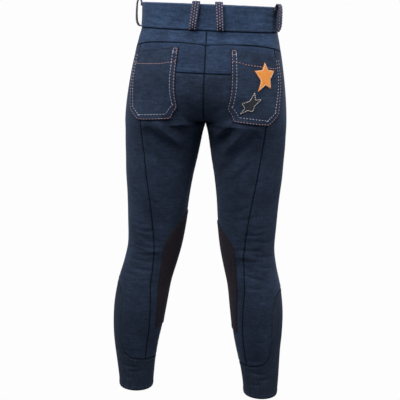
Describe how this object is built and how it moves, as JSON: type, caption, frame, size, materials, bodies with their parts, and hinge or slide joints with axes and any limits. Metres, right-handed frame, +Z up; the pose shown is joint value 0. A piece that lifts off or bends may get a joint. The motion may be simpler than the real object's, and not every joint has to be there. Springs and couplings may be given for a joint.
{
  "type": "riding breeches",
  "caption": "Child's slim riding breeches in navy jersey, filled out as worn, with a looped waistband, patch pockets, suede-look knee patches and knitted cuffs.",
  "frame": {"origin": "centre of the waistband's ring, at half the band's height, where the wearer's waist holds the breeches up", "axes": "+Z up along the body; the front faces -Y; +X is towards the wearer's left"},
  "size_m": [0.2942, 0.1641, 0.6708],
  "materials": {
    "navy_jersey": "brushed navy stretch jersey with a fine denim-like rib",
    "cuff_knit": "thin elastic knit, darker than the legs",
    "knee_suede": "matt synthetic suede, near black brown",
    "loop_braid": "narrow cotton tape with pinkish rows of stitching",
    "felt_orange": "orange felt with an off-white stitched outline",
    "felt_charcoal": "charcoal felt with an off-white stitched outline",
    "button_metal": "dull grey metal shank button"
  },
  "bodies": {
    "root": {"waistband": "navy_jersey", "yoke_left": "navy_jersey", "yoke_right": "navy_jersey", "seat_left": "navy_jersey", "seat_right": "navy_jersey", "leg_front_left": "navy_jersey", "leg_front_right": "navy_jersey", "leg_back_left": "navy_jersey", "leg_back_right": "navy_jersey", "cuff_left": "cuff_knit", "cuff_right": "cuff_knit", "pocket_left": "navy_jersey", "pocket_right": "navy_jersey", "knee_patch_left": "knee_suede", "knee_patch_right": "knee_suede", "fly": "navy_jersey", "waist_button": "button_metal", "loop_back_left": "loop_braid", "loop_back_right": "loop_braid", "loop_side_left": "loop_braid", "loop_side_right": "loop_braid", "loop_front_left": "loop_braid", "loop_front_right": "loop_braid", "star_orange": "felt_orange", "star_charcoal": "felt_charcoal"}
  },
  "joints": []
}
